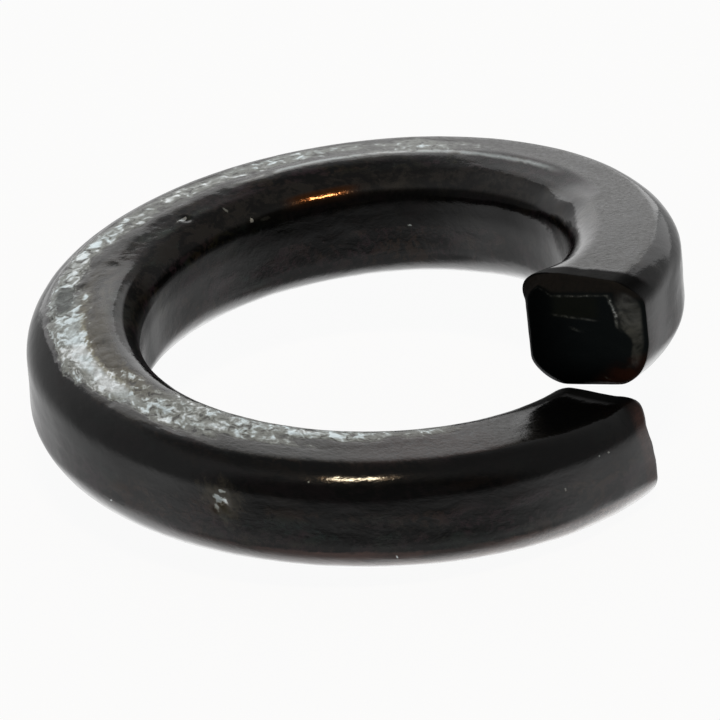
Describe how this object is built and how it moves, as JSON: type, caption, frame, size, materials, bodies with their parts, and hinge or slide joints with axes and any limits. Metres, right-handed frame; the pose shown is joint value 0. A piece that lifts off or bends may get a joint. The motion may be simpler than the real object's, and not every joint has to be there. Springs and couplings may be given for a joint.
{
  "type": "spring lock washer",
  "caption": "Split helical spring lock washer of heavy, nearly square rounded steel wire, coiled left-handed and cropped off at both ends.",
  "frame": {"origin": "on the bore's axis, at the height of the lowest point of the coil", "axes": "+Z along the bore's axis, from the lower sheared end to the upper one; the coil climbs clockwise seen from +Z, and the lower end faces about 31 degrees below +X towards -Y"},
  "size_m": [0.019, 0.019, 0.0075],
  "materials": {
    "black_steel": "oiled black oxide on rolled spring steel, scuffed to bare metal along the top"
  },
  "bodies": {
    "root": {"lock_washer": "black_steel"}
  },
  "joints": []
}
